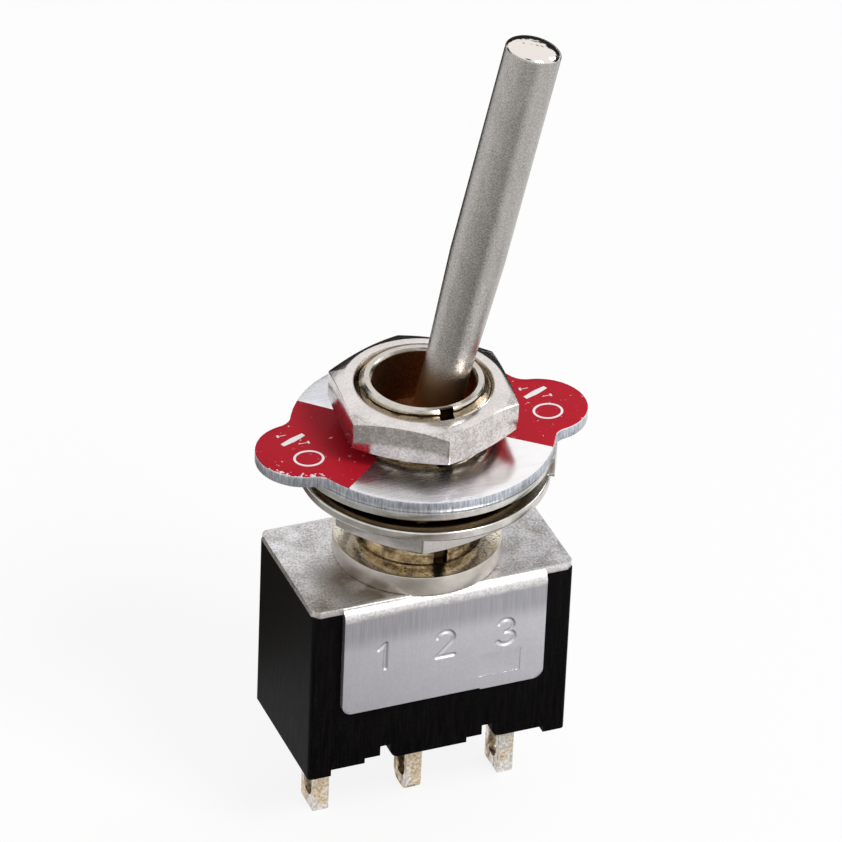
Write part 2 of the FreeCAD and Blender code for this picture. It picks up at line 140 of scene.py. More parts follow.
# %% Shader sums
class Wire:
    """The output of a node, on which a sum can be written."""

    def __init__(self, finish, socket):
        self.finish = finish
        self.socket = socket

    def sum(self, operation, first, second):
        return self.finish.node("ShaderNodeMath", {"operation": operation}, {0: first, 1: second})

    def __add__(self, other):
        return self.sum("ADD", self, other)

    def __sub__(self, other):
        return self.sum("SUBTRACT", self, other)

    def __rsub__(self, other):
        return self.sum("SUBTRACT", other, self)

    def __mul__(self, other):
        return self.sum("MULTIPLY", self, other)

    def __abs__(self):
        return self.sum("ABSOLUTE", self, 0)

    __radd__ = __add__
    __rmul__ = __mul__

    def ramp(self, low, high, start=0.0, end=1.0):
        """Go smoothly from start to end while the wire goes from low to high."""
        sockets = {"Value": self, "From Min": low, "From Max": high, "To Min": start, "To Max": end}
        return self.finish.node("ShaderNodeMapRange", {"interpolation_type": "SMOOTHSTEP"}, sockets)

    def blend(self, first, second):
        """Go from one colour at 0 to another at 1, each a wire or red, green and blue."""
        colours = [value if isinstance(value, Wire) else (*value, 1.0) for value in (first, second)]
        sockets = {0: self, 6: colours[0], 7: colours[1]}
        return self.finish.node("ShaderNodeMix", {"data_type": "RGBA"}, sockets, 2)


# %% [markdown]
# A Place is the wire that says where a point of the surface is, in millimetres. Heights, distances
# and every grain of the plating are worked out from it, so that marks stay where they are on the
# object from whichever side it is seen.

# %% Places on the surface
class Place(Wire):
    def vector(self, operation, sockets, output="Vector"):
        settings = {"operation": operation}
        return self.finish.node("ShaderNodeVectorMath", settings, {0: self, **sockets}, output)

    def axis(self, letter):
        return self.finish.node("ShaderNodeSeparateXYZ", {}, {0: self}, letter)

    def stretched(self, factors):
        """The place squeezed or stretched along each axis, for streaks."""
        return Place(self.finish, self.vector("MULTIPLY", {1: factors}).socket)

    def from_axis(self):
        """How far a point is from the bushing's axis."""
        return self.stretched((1, 1, 0)).vector("LENGTH", {}, "Value")

    def grain(self, per_mm, detail=2.0, rough=0.5):
        """Soft noise from 0 to 1, with so many grains in a millimetre."""
        sockets = {"Vector": self, "Scale": per_mm, "Detail": detail, "Roughness": rough}
        return self.finish.node("ShaderNodeTexNoise", {}, sockets)


# %% [markdown]
# A Finish is one material being made. Its node method adds any node of Blender's: first what the
# node is set to, then what comes in at its sockets. Bare metal always fills the same sockets, so
# it has a method of its own.

# %% One finish
class Finish:
    """One material, and the ways of adding nodes to it."""

    def __init__(self, name, tree=None):
        if tree is None:
            self.material = bpy.data.materials.new(name)
            self.material.use_nodes = True
            tree = self.material.node_tree
        self.tree = tree
        self.tree.nodes.clear()

    def node(self, kind, settings, sockets, output=0):
        """Add a node: its settings first, then its sockets, each a value or a wire."""
        made = self.tree.nodes.new(kind)
        for key, value in settings.items():
            setattr(made, key, value)
        for key, value in sockets.items():
            if isinstance(value, Wire):
                self.tree.links.new(value.socket, made.inputs[key])
            else:
                made.inputs[key].default_value = value
        return Wire(self, made.outputs[output])

    def place(self):
        metres = Place(self, self.node("ShaderNodeTexCoord", {}, {}, "Object").socket)
        return Place(self, metres.vector("SCALE", {"Scale": 1 / mm}).socket)

    def bump(self, height, depth_mm):
        """Tilt the surface as if the height stood out of it."""
        sockets = {"Height": height, "Distance": depth_mm * mm, "Strength": 1.0}
        return self.node("ShaderNodeBump", {}, sockets)

    def surface(self, sockets):
        self.end(self.node("ShaderNodeBsdfPrincipled", {}, sockets))
        return self.material

    def metal(self, colour, rough, height, depth_mm):
        """End in bare metal of a colour and roughness, with the height as its relief."""
        relief = self.bump(height, depth_mm)
        sockets = {"Base Color": colour, "Metallic": 1.0, "Roughness": rough, "Normal": relief}
        return self.surface(sockets)

    def end(self, shader, kind="ShaderNodeOutputMaterial"):
        output = self.tree.nodes.new(kind)
        self.tree.links.new(shader.socket, output.inputs["Surface"])


# %% [markdown]
# The studio is a white sheet under and behind the switch. To the camera, and in mirror-like
# metal, it glows almost white. To soft light it is only part bright, so that the lamps give the
# object its shape, and the floor still takes a faint shadow.

# %% World and floor
sheet_glow = 0.86
soft_light = 0.54
floor_wide = 1200
pure_white = (1, 1, 1, 1)
sheet_colour = (0.9, 0.9, 0.9, 1)


def seen_directly(finish):
    """1 for the camera's own rays and for sharp reflections, 0 for soft light."""
    kinds = ("Is Camera Ray", "Is Glossy Ray", "Is Transmission Ray")
    camera, glossy, through = [finish.node("ShaderNodeLightPath", {}, {}, kind) for kind in kinds]
    return (camera + glossy + through).ramp(0, 1)


def flat_sheet(name, wide, deep, height=0.0):
    """A level rectangle in millimetres, centred on the switch's axis."""
    x = wide / 2 * mm
    y = deep / 2 * mm
    z = height * mm
    data = bpy.data.meshes.new(name)
    data.from_pydata([(-x, -y, z), (x, -y, z), (x, y, z), (-x, y, z)], [], [(0, 1, 2, 3)])
    return data


world = bpy.data.worlds.new("studio")
bpy.context.scene.world = world
world.use_nodes = True
sky = Finish("studio", world.node_tree)
direct = seen_directly(sky)
dim = sky.node("ShaderNodeBackground", {}, {"Color": pure_white, "Strength": soft_light})
white = sky.node("ShaderNodeBackground", {}, {"Color": pure_white, "Strength": 1.0})
sky.end(sky.node("ShaderNodeMixShader", {}, {0: direct, 1: dim, 2: white}), "ShaderNodeOutputWorld")

floor_data = flat_sheet("floor", floor_wide, floor_wide, floor_z)
floor = bpy.data.objects.new("floor", floor_data)
in_scene.link(floor)

paper = Finish("white_sheet")
lit = paper.node("ShaderNodeBsdfDiffuse", {}, {"Color": sheet_colour})
glow = paper.node("ShaderNodeEmission", {}, {"Color": pure_white, "Strength": 1.0})
share = seen_directly(paper) * sheet_glow
paper.end(paper.node("ShaderNodeMixShader", {}, {0: share, 1: lit, 2: glow}))
floor_data.materials.append(paper.material)
print("floor at", round(floor_z, 2), "mm")

# %% [markdown]
# A metal object shows what stands around it. One broad lamp in front and above puts the bright
# line on every bend, and a second from the right fills the far side. Dark boards, called flags,
# which only reflections can see, put the dark bands on the lever and the grey on the nuts and
# washers. Some stand, and some lie on the floor close to the object.

# %% Lamps and flags
centre = Vector((0, 0, 3))


def aimed(obj, place_mm):
    """Stand an object in the studio, facing the switch."""
    place = Vector(place_mm)
    obj.location = place * mm
    obj.rotation_euler = (place - centre).to_track_quat("Z", "Y").to_euler()
    in_scene.link(obj)


def lamp(name, place_mm, size_mm, power):
    light = bpy.data.lights.new(name, "AREA")
    light.shape = "RECTANGLE"
    light.size = size_mm[0] * mm
    light.size_y = size_mm[1] * mm
    light.energy = power
    aimed(bpy.data.objects.new(name, light), place_mm)


def flag(name, size_mm, shade, far_shade=None):
    """A board that only reflections can see, which may change its shade along its length."""
    data = flat_sheet(name, *size_mm)
    board = Finish(name)
    along = board.place().axis("X")
    half = size_mm[0] / 2
    tone = along.ramp(-half, half).blend(shade, far_shade or shade)
    board.end(board.node("ShaderNodeEmission", {}, {"Color": tone}))
    data.materials.append(board.material)
    obj = bpy.data.objects.new(name, data)
    for rays in ("camera", "diffuse", "shadow", "transmission"):
        setattr(obj, "visible_" + rays, False)
    return obj


def lying(obj, place_mm):
    """Lay an object just above the floor."""
    obj.location = Vector((*place_mm, floor_z + 0.1)) * mm
    in_scene.link(obj)


lamp("key_lamp", (130, -260, 330), (170, 110), 1.1)
lamp("side_lamp", (330, 60, 190), (120, 160), 0.2)
lying(flag("near_flag", (50, 7), (0.01, 0.01, 0.01)), (8, -7.5))
lying(flag("front_flag", (30, 95), (0.14, 0.12, 0.09), (0.90, 0.88, 0.90)), (-3, -60))
lying(flag("left_flag", (90, 130), (0.42, 0.41, 0.40)), (-63, -45))
lying(flag("side_flag", (34, 26), (0.13, 0.11, 0.09)), (-24, 24))
lying(flag("back_flag", (180, 290), (0.03, 0.03, 0.03)), (60, 190))
aimed(flag("far_flag", (500, 140), (0.02, 0.02, 0.02)), (130, 305, 55))
aimed(flag("far_left_flag", (180, 130), (0.03, 0.03, 0.03)), (-200, 225, 75))
aimed(flag("far_right_flag", (200, 130), (0.03, 0.03, 0.03)), (295, 52, 75))
aimed(flag("top_flag", (100, 100), (0.03, 0.03, 0.03)), (-60, -140, 330))
print("things in the studio", len(in_scene))

# %% [markdown]
# The case is a black moulding with a fine drawn texture on its faces. What shows of black plastic
# is the sheen of its skin, so the streaks go into the roughness as well as the colour.

# %% Black moulding
fine_per_mm = 9.0


def black_moulding():
    finish = Finish("black_moulding")
    place = finish.place()
    streak = place.stretched((8, 8, 0.7)).grain(1.0, 4.0, 0.6)
    speck = place.grain(fine_per_mm, 3.0)
    tone = (streak * 0.7 + speck * 0.3).ramp(0.35, 0.7)
    return finish.surface({
        "Base Color": tone.blend((0.001, 0.0008, 0.0008), (0.005, 0.004, 0.0042)),
        "Roughness": 0.42 + 0.25 * streak,
        "Specular IOR Level": 0.05,
        "Normal": finish.bump(streak * 0.6 + speck * 0.4, 0.012),
    })


# %% [markdown]
# The frame is thin sheet with satin nickel on it. Handling leaves cloudy patches on the top, and
# the flaps keep the upright lines of the bending tool near the bend. Light and shade are painted
# into the colour too: the top is painted lighter on the left than on the right, a brown painted
# shadow and reflection of the collar lies beside it, and a painted highlight runs along each bend.
# The clouds are slow noise, and the lines are the same noise squeezed sideways. Heights are below
# the frame's top face, which is at 0.

# %% Satin frame plating
bend_high = -0.45
bend_low = -0.8
bend_y = 3.6
lines_full = -1.5
lines_end = -2.6


def plated_frame():
    finish = Finish("plated_frame")
    place = finish.place()
    height = place.axis("Z")
    front = place.axis("Y")
    cloud = place.grain(0.8, 4.0, 0.62)
    speck = place.grain(fine_per_mm, 3.0, 0.6)
    line = place.stretched((9.0, 1.0, 0.35)).grain(1.0, 3.0, 0.6)
    across = place.axis("X")
    on_flap = height.ramp(bend_high, bend_low)
    # Painted highlight: the bend is painted brighter than the sheet around it.
    bend_highlight_mask = abs(front).ramp(bend_y - 0.25, bend_y) * height.ramp(bend_low + 0.05, bend_high)
    near_bend = height.ramp(lines_end, lines_full) * on_flap
    patch = 0.35 + 0.65 * (cloud * 0.8 + speck * 0.2).ramp(0.36, 0.58)
    # Painted shadow and reflection: a brown patch on the top beside the collar's front left.
    corner = across.ramp(1.0, -2.0) * front.ramp(0.8, -1.2)
    collar_shadow = place.from_axis().ramp(6.4, 4.4) * corner * patch
    top_tone = (cloud * 0.45 + speck * 0.55).ramp(0.38, 0.60)
    flap_tone = (speck * 0.5 + cloud * 0.3 + line * 0.2).ramp(0.25, 0.75)
    # Painted light: the top is painted lighter on the left and darker on the right.
    lit_top_left = top_tone.blend((0.42, 0.395, 0.385), (0.94, 0.93, 0.95))
    shaded_top_right = top_tone.blend((0.32, 0.295, 0.28), (0.72, 0.71, 0.73))
    top = across.ramp(-3.0, 4.0).blend(lit_top_left, shaded_top_right)
    top = collar_shadow.blend(top, (0.20, 0.16, 0.125))
    bend_highlight = speck.ramp(0.35, 0.65).blend((0.62, 0.60, 0.59), (0.84, 0.82, 0.81))
    flap = flap_tone.blend((0.58, 0.57, 0.605), (0.70, 0.69, 0.73))
    streaked = line.ramp(0.3, 0.7).blend((0.40, 0.395, 0.415), (0.49, 0.485, 0.515))
    flap = near_bend.blend(flap, streaked)
    sheet = on_flap.blend(top, flap)
    colour = bend_highlight_mask.blend(sheet, bend_highlight)
    rough = 0.26 + 0.14 * speck + 0.1 * cloud + 0.08 * on_flap
    return finish.metal(colour, rough, speck * 0.7 + line * near_bend, 0.007)


# %% [markdown]
# The bushing is turned brass under bright nickel. On the collar it is silvery, and the bright
# specks on the crests of the thread are nickel and partly a painted highlight. Down in the grooves
# the plating is thin and brass shows through, painted dark as shade, darkest in the gap under the
# plate and nut; the keyway is painted dark as shade, and old grease sits inside the mouth. The
# distance from the bushing's axis tells them apart.

# %% Turned and threaded brass
thread_crest_r = 3.15
thread_depth = 0.30
collar_top = 1.03
undercut_r = 2.9
mouth_r = 2.43


def plated_brass():
    finish = Finish("plated_brass")
    place = finish.place()
    radius = place.from_axis()
    height = place.axis("Z")
    cloud = place.grain(1.6, 4.0, 0.6)
    speck = place.grain(fine_per_mm, 2.0)
    top = bushing_high.z
    above_collar = height.ramp(collar_top - 0.07, collar_top - 0.02)
    on_collar = 1 - above_collar
    inside_rim = radius.ramp(collar_r - 0.04, collar_r - 0.16)
    below_end = height.ramp(top - 0.05, top - 0.16)
    groove = above_collar * inside_rim * below_end
    mouth = radius.ramp(mouth_r + 0.04, mouth_r + 0.01) * height.ramp(top - 0.1, top - 0.14)
    nickel = cloud.blend((0.46, 0.42, 0.35), (0.78, 0.74, 0.70))
    # Painted shade: the brass in the grooves is painted dark, darkest from 4 mm up, in the gap under the
    # plate and the nut.
    golden_in_shade = cloud.ramp(0.35, 0.7).blend((0.10, 0.07, 0.038), (0.60, 0.47, 0.30))
    brass_in_shade = speck.blend((0.05, 0.035, 0.02), (0.46, 0.36, 0.24))
    brass = height.ramp(4.0, 6.5).blend(golden_in_shade, brass_in_shade)
    # Partly a painted highlight: bright nickel specks on the crests of the thread.
    crest_glints = radius.ramp(thread_crest_r - 0.12, thread_crest_r - 0.04)
    brass = (crest_glints * speck.ramp(0.3, 0.5)).blend(brass, (0.80, 0.74, 0.62))
    # Painted shade: the keyway is painted almost black.
    keyway_shade = radius.ramp(undercut_r - 0.06, undercut_r - 0.14)
    brass = keyway_shade.blend(brass, (0.05, 0.035, 0.02))
    greasy = speck.blend((0.12, 0.05, 0.022), (0.60, 0.33, 0.16))
    tone = groove.blend(nickel, brass)
    colour = mouth.blend(tone, greasy)
    rough = 0.14 + 0.12 * speck + 0.16 * mouth + 0.14 * on_collar
    return finish.metal(colour, rough, speck, 0.003)


# %% [markdown]
# The upper nut has the brightest plating of all, so it shows the plate, the print and the lever
# as a mirror does. Its top face is painted lighter and its mottled sides darker, as painted light
# and shade, and the lower nut is plain grey. Their threads are brown with shadow and brass.

# %% Bright nut plating
def plated_nut():
    finish = Finish("plated_nut")
    place = finish.place()
    height = place.axis("Z")
    radius = place.from_axis()
    cloud = place.grain(1.1, 4.0, 0.6)
    speck = place.grain(fine_per_mm, 2.0)
    thread = radius.ramp(thread_crest_r + 0.19, thread_crest_r + 0.08)
    # Painted light and shade: the top face is painted lighter and the sides darker.
    side = height.ramp(nut_top - 0.10, nut_top - 0.16)
    mottle = (cloud * 0.5 + speck * 0.5).ramp(0.38, 0.62)
    painted_light = mottle.blend((0.68, 0.64, 0.62), (0.80, 0.75, 0.73))
    painted_shade = mottle.blend((0.46, 0.43, 0.41), (0.76, 0.71, 0.69))
    nickel = side.blend(painted_light, painted_shade)
    plain = speck.blend((0.42, 0.395, 0.37), (0.60, 0.57, 0.54))
    lower_nut = height.ramp(plate_low.z - 0.5, plate_low.z - 1.0)
    nickel = lower_nut.blend(nickel, plain)
    brass = speck.blend((0.04, 0.024, 0.011), (0.36, 0.26, 0.15))
    colour = thread.blend(nickel, brass)
    rough = 0.10 + 0.12 * speck + 0.1 * thread
    return finish.metal(colour, rough, cloud * 0.7 + speck * 0.3, 0.004)


# %% [markdown]
# The washers and the locating ring are spring steel with a cloudy nickel coat. Close to the thread
# they are painted dark brown and gold, a painted shade between the washers, so the colour changes
# with the radius.

# %% Washer plating
golden_r = 5.2
silver_r = 5.9


def plated_washer():
    finish = Finish("plated_washer")
    place = finish.place()
    radius = place.from_axis()
    cloud = place.grain(0.9, 4.0, 0.6)
    speck = place.grain(fine_per_mm, 3.0)
    # Painted shade: near the thread the washers are painted dark brown and gold.
    inner = radius.ramp(silver_r, golden_r)
    nickel = cloud.ramp(0.3, 0.7).blend((0.52, 0.50, 0.46), (0.72, 0.70, 0.66))
    golden_in_shade = speck.blend((0.05, 0.032, 0.016), (0.55, 0.40, 0.23))
    colour = inner.blend(nickel, golden_in_shade)
    rough = 0.18 + 0.12 * speck
    return finish.metal(colour, rough, cloud, 0.004)


# %% [markdown]
# The lever is tumbled until it is satin all over, then its tip is polished on a wheel. A fine
# speckle on a grey metal gives the satin. The distance along the lever's own axis gives the
# polished end, and the brown that grease leaves on the neck.

# %% Satin lever with a polished tip
pivot = Vector((0, 0, 4.6))
lean = math.radians(12.2)
lever_axis = Vector((math.sin(lean), 0, math.cos(lean)))
lever_reach = 22.63
grease_full = 4.7
grease_end = 6.2


def plated_lever():
    finish = Finish("plated_lever")
    place = finish.place()
    reach = place.vector("DOT_PRODUCT", {1: lever_axis}, "Value") - lever_axis.dot(pivot)
    speck = place.grain(13.0, 4.0, 0.7)
    cloud = place.stretched((2.6, 2.6, 0.5)).grain(1.0, 3.0)
    wobble = place.grain(2.4, 1.0)
    polished = reach.ramp(lever_reach - 0.31, lever_reach - 0.25)
    tone = (speck * 0.8 + cloud * 0.2).ramp(0.30, 0.70)
    satin = tone.blend((0.28, 0.262, 0.24), (0.54, 0.52, 0.49))
    neck = reach.ramp(grease_end, grease_full)
    satin = neck.blend(satin, (0.46, 0.31, 0.17))
    gloss = polished.ramp(0, 1, 0.17, 0.06)
    colour = polished.blend(satin, (0.84, 0.78, 0.74))
    rough = gloss + 0.1 * speck * (1 - polished) + 0.12 * neck
    return finish.metal(colour, rough, speck * (1 - polished) + wobble * polished * 1.6, 0.010)


# %% [markdown]
# The solder lugs are brass with a thin, mottled coat of tin, silvery in one place and golden in
# the next. Two noises of different size break the colour up. The faces with the eyelet get dark
# brown blotches, fewer on the left lug, and the narrow faces get none.

# %% Tinned lugs
lug_side = 0.85


def terminal_plating():
    finish = Finish("terminal_plating")
    place = finish.place()
    patch = place.grain(0.9, 3.0, 0.55)
    speck = place.grain(6.0, 3.0, 0.6)
    blotch = place.stretched((2.6, 2.6, 0.9)).grain(1.0, 3.0, 0.6)
    across = place.axis("X")
    middle = abs(across).ramp(2.4, 1.6)
    eyelet_face = abs(place.axis("Y")).ramp(lug_side - 0.02, lug_side - 0.06)
    # Dark brown blotches on the faces with the eyelet, fewer on the left lug.
    dark_blotches = blotch.ramp(0.54, 0.40) * eyelet_face * across.ramp(-4.0, -2.0, 0.45, 1.0)
    tone = speck.ramp(0.32, 0.66)
    tin = tone.blend((0.50, 0.47, 0.44), (0.86, 0.82, 0.78))
    gold = tone.blend((0.42, 0.32, 0.20), (0.84, 0.71, 0.53))
    mixed = (patch + 0.12 * middle).ramp(0.42, 0.60).blend(tin, gold)
    colour = dark_blotches.blend(mixed, (0.16, 0.11, 0.055))
    rough = 0.22 + 0.2 * speck
    return finish.metal(colour, rough, speck, 0.010)


# %% [markdown]
# The indicator plate is sheet aluminium, brushed in one direction, with a raw punched edge, and its
# face is painted brighter towards the right, a painted reflection. Its two lobes are printed red.
# The print is a thin gloss enamel, chipped to bare metal where the punch broke it along the rim of
# one lobe.

# %% Plate metal and print
plate_top = plate_high.z
chipped_lobe = (-5.9, 0.15, plate_top)
chips_from = 1.75
chips_full = 2.25


def indicator_sheet():
    finish = Finish("indicator_sheet")
    place = finish.place()
    height = place.axis("Z")
    brush = place.stretched((0.35, 11.0, 11.0)).grain(1.0, 4.0, 0.65)
    cloud = place.grain(0.5, 3.0, 0.6)
    cut = place.stretched((10.0, 10.0, 1.6)).grain(1.0, 3.0, 0.7)
    rim = height.ramp(plate_top - 0.04, plate_top - 0.08)
    tone = (brush * 0.45 + cloud * 0.55).ramp(0.33, 0.62)
    # Painted reflection: the face is painted brighter towards the right and darker on the left.
    painted_light = place.axis("X").ramp(-1.0, 3.2)
    painted_shade = tone.blend((0.66, 0.665, 0.71), (0.90, 0.90, 0.93))
    lit_face = tone.blend((0.90, 0.88, 0.88), (0.98, 0.96, 0.96))
    face = painted_light.blend(painted_shade, lit_face)
    edge = cut.ramp(0.3, 0.7).blend((0.34, 0.36, 0.41), (0.68, 0.71, 0.77))
    colour = rim.blend(face, edge)
    rough = 0.20 + 0.15 * brush + 0.12 * rim - 0.09 * painted_light
    return finish.metal(colour, rough, brush * (1 - rim) + cut * rim * 3, 0.004)


def red_print():
    finish = Finish("red_print")
    place = finish.place()
    cloud = place.grain(1.0, 3.0)
    chip = place.grain(3.4, 4.0, 0.7)
    colour = cloud.blend((0.40, 0.009, 0.020), (0.47, 0.012, 0.026))
    left = place.axis("X").ramp(-5.4, -6.2)
    front = place.axis("Y").ramp(-0.2, -1.2)
    from_lobe = place.vector("DISTANCE", {1: chipped_lobe}, "Value")
    near_rim = from_lobe.ramp(chips_from, chips_full) * left * front
    bare = (chip + near_rim * 0.16).ramp(0.66, 0.68)
    return finish.surface({
        "Base Color": bare.blend(colour, (0.80, 0.79, 0.80)),
        "Roughness": 0.30 + 0.12 * cloud,
        "Specular IOR Level": 0.06,
        "Normal": finish.bump(cloud, 0.004),
    })


def white_print():
    finish = Finish("white_print")
    cloud = finish.place().grain(5.0, 3.0)
    return finish.surface({
        "Base Color": cloud.blend((0.78, 0.76, 0.77), (0.90, 0.89, 0.90)),
        "Roughness": 0.42 + 0.1 * cloud,
    })


# %% [markdown]
# The pieces inside the case are seen by nobody until the switch is opened, and still get finishes
# of their own: ground steel, drawn wire, a pale moulding, pressed brass and soft silver. One
# function makes them all, since they differ only in two colours, the size of the grain, the
# roughness and whether they are metal.

# %% Finishes inside the case
def plain_finish(name, dark, light, per_mm, rough, metal):
    finish = Finish(name)
    grain = finish.place().grain(per_mm, 3.0, 0.6)
    return finish.surface({
        "Base Color": grain.ramp(0.3, 0.7).blend(dark, light),
        "Metallic": metal,
        "Roughness": rough + 0.15 * grain,
        "Normal": finish.bump(grain, 0.004),
    })


inner_looks = {
    "steel_pin": ((0.48, 0.48, 0.48), (0.66, 0.66, 0.66), 6.0, 0.18, 1.0),
    "spring_steel": ((0.36, 0.36, 0.37), (0.56, 0.56, 0.56), 8.0, 0.24, 1.0),
    "plunger_moulding": ((0.72, 0.69, 0.62), (0.82, 0.80, 0.74), 4.0, 0.42, 0.0),
    "contact_brass": ((0.62, 0.44, 0.22), (0.80, 0.62, 0.36), 3.0, 0.24, 1.0),
    "contact_silver": ((0.70, 0.70, 0.68), (0.88, 0.87, 0.85), 5.0, 0.16, 1.0),
}
finishes = {name: plain_finish(name, *look) for name, look in inner_looks.items()}
for make in (
    black_moulding, plated_frame, plated_brass, plated_nut, plated_washer,
    plated_lever, terminal_plating, indicator_sheet,
):
    finishes[make.__name__] = make()
slots = {row["node"]: row["material_slot"] for row in frame["record"]["subparts"]}
for node, slot in slots.items():
    nodes[node].data.materials[0] = finishes[slot]
print("finishes", len(finishes))

# %% [markdown]
# A turned piece is a flat outline swept round an axis. The sweep below asks for the outline again
# at every angle, so it makes plain rings, hexagonal nuts, screw threads and the plate with its
# lobes: only the radius at each angle differs. Real corners are never sharp, so another function
# swaps each corner of an outline for a short curve that catches the light.

# %% Outlines and sweeps
longest_share = 0.4


def arc(centre, radii, start, end, steps):
    """Points round part of an ellipse, its angles in degrees."""
    points = []
    for step in range(steps + 1):
        turn = math.radians(start + (end - start) * step / steps)
        points.append((centre[0] + radii[0] * math.cos(turn), centre[1] + radii[1] * math.sin(turn)))
    return points


def softened_outline(points, radius, steps=2):
    """A closed outline with its corners curved, as many points for any outline of that length."""
    curved = []
    count = len(points)
    for i, corner in enumerate(points):
        here = Vector(corner)
        before = Vector(points[i - 1]) - here
        after = Vector(points[(i + 1) % count]) - here
        start = here + before.normalized() * min(radius, before.length * longest_share)
        end = here + after.normalized() * min(radius, after.length * longest_share)
        for step in range(steps + 1):
            t = step / steps
            curved.append((1 - t) ** 2 * start + 2 * t * (1 - t) * here + t ** 2 * end)
    return curved


def sweep(angles, outline_at):
    """A mesh of the closed outlines, of (radius, height), that outline_at gives at each angle."""
    mesh = bmesh.new()
    columns = []
    for angle in angles:
        column = []
        for radius, height in outline_at(angle):
            column.append(mesh.verts.new((radius * math.cos(angle), radius * math.sin(angle), height)))
        columns.append(column)
    for column, following in zip(columns, columns[1:] + columns[:1]):
        for i in range(len(column)):
            j = i - 1
            mesh.faces.new((column[j], following[j], following[i], column[i]))
    bmesh.ops.recalc_face_normals(mesh, faces=mesh.faces)
    return mesh


def even_angles(count):
    return [whole_turn * i / count for i in range(count)]


# %% [markdown]
# Every mesh becomes a piece in the same way. It is scaled to metres and gets its finish, and what
# curves is shaded smooth. The Weighted Normal modifier keeps flat faces flat beside softened edges.
# Then the piece is tied to the body it moves with and takes the place of its plain solid.

# %% From mesh to piece
smooth_up_to = math.radians(35)


def loose_object(name, mesh):
    data = bpy.data.meshes.new(name)
    mesh.to_mesh(data)
    mesh.free()
    obj = bpy.data.objects.new(name, data)
    in_scene.link(obj)
    return obj


def piece(name, mesh, slot, body="switch_body", replaced=(), materials=None):
    """Turn a mesh in millimetres into a finished piece that rides on a body."""
    mesh.transform(Matrix.Scale(mm, 4))
    obj = loose_object(name, mesh)
    obj.data.shade_smooth()
    obj.data.set_sharp_from_angle(angle=smooth_up_to)
    for material in materials or [finishes[slot]]:
        obj.data.materials.append(material)
    even = obj.modifiers.new("even_shading", "WEIGHTED_NORMAL")
    even.keep_sharp = True
    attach(obj, body)
    if replaced:
        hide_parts(*replaced)
    print(name, len(obj.data.polygons), "faces")


# %% [markdown]
# The screw thread is 40 turns to the inch, a ridge that climbs the bushing as it goes round. At
# any angle and height the ridge's phase is the height in turns less the angle in turns, and the
# phase gives the radius. The nuts use the same function, so their threads mesh with the bushing's.

# %% Screw thread
thread_pitch = 0.635
rows_per_turn = 12
thread_columns = 96
crest_share = 0.15
slope_share = 0.65


def thread_r(angle, height):
    """The radius of the bushing's thread at a point."""
    phase = (height / thread_pitch - angle / whole_turn) % 1
    slope = min(max((abs(phase - 0.5) * 2 - crest_share) / slope_share, 0), 1)
    return thread_crest_r - thread_depth * slope


def thread_rows(low, high):
    """Heights close enough together to draw the thread between two levels."""
    count = round((high - low) / thread_pitch * rows_per_turn)
    return [low + (high - low) * i / count for i in range(count + 1)]


print("turns of thread on the bushing", round((bushing_high.z - collar_top) / thread_pitch, 1))

# %% [markdown]
# Softening the edges of a piece from the frame takes four steps: copy its mesh, join the corners
# that the file format split, melt the triangles back into flat faces, and bevel every edge that
# turns sharply. Very narrow faces keep their edges, because one of them would hold all the other
# bevels to its own width.

# %% Softened copies of the solids
sharp_turn = math.radians(28)
flat_turn = math.radians(0.4)
joined_within = 0.0005
narrowest = 0.05


def broad(face):
    """Whether a face is wide enough to have its edges rounded."""
    return face.calc_area() / max(edge.calc_length() for edge in face.edges) > narrowest


def softened_mesh(node, width):
    """A copy of a CAD piece in millimetres with its sharp edges bevelled."""
    mesh = bmesh.new()
    mesh.from_mesh(nodes[node].data)
    split_normals = mesh.loops.layers.float_vector.get("custom_normal")
    if split_normals:
        mesh.loops.layers.float_vector.remove(split_normals)
    mesh.transform(Matrix.Scale(1 / mm, 4))
    bmesh.ops.remove_doubles(mesh, verts=mesh.verts, dist=joined_within)
    bmesh.ops.dissolve_limit(mesh, angle_limit=flat_turn, verts=mesh.verts, edges=mesh.edges)
    sharp = [e for e in mesh.edges if e.is_manifold and e.calc_face_angle() > sharp_turn]
    sharp = [e for e in sharp if all(broad(face) for face in e.link_faces)]
    bmesh.ops.bevel(
        mesh, geom=sharp, offset=width, segments=2, profile=0.5, affect="EDGES", clamp_overlap=True
    )
    return mesh


# %% [markdown]
# Holes, slots and stamped marks are cut with Blender's Boolean modifier. It works on objects, so
# the piece and each tool become objects for a moment. The volume that is left is printed: a cut
# that went wrong shows there at once.

# %% Cutting
def cut(mesh, tools):
    """Cut tools out of a mesh, all of them in millimetres, and give back the result."""
    whole = loose_object("whole", mesh)
    helpers = [whole]
    for tool in tools:
        helper = loose_object("tool", tool)
        modifier = whole.modifiers.new("cut", "BOOLEAN")
        modifier.object = helper
        modifier.operation = "DIFFERENCE"
        modifier.solver = "EXACT"
        helpers.append(helper)
    result = bmesh.new()
    result.from_object(whole, bpy.context.evaluated_depsgraph_get())
    for helper in helpers:
        bpy.data.objects.remove(helper)
    print("after cutting", len(result.faces), "faces,", round(result.calc_volume(), 2), "mm3")
    return result


# %% [markdown]
# The lever is one turned piece: a barrel for the spring, the ball it swings on, a neck that widens
# to the grip, and a crowned tip. The crown is drawn in many steps, because a polished end mirrors
# the whole room and shows every facet. The ball is drilled for the cross pin, and the lever,
# turned upright so far, is leant over last.

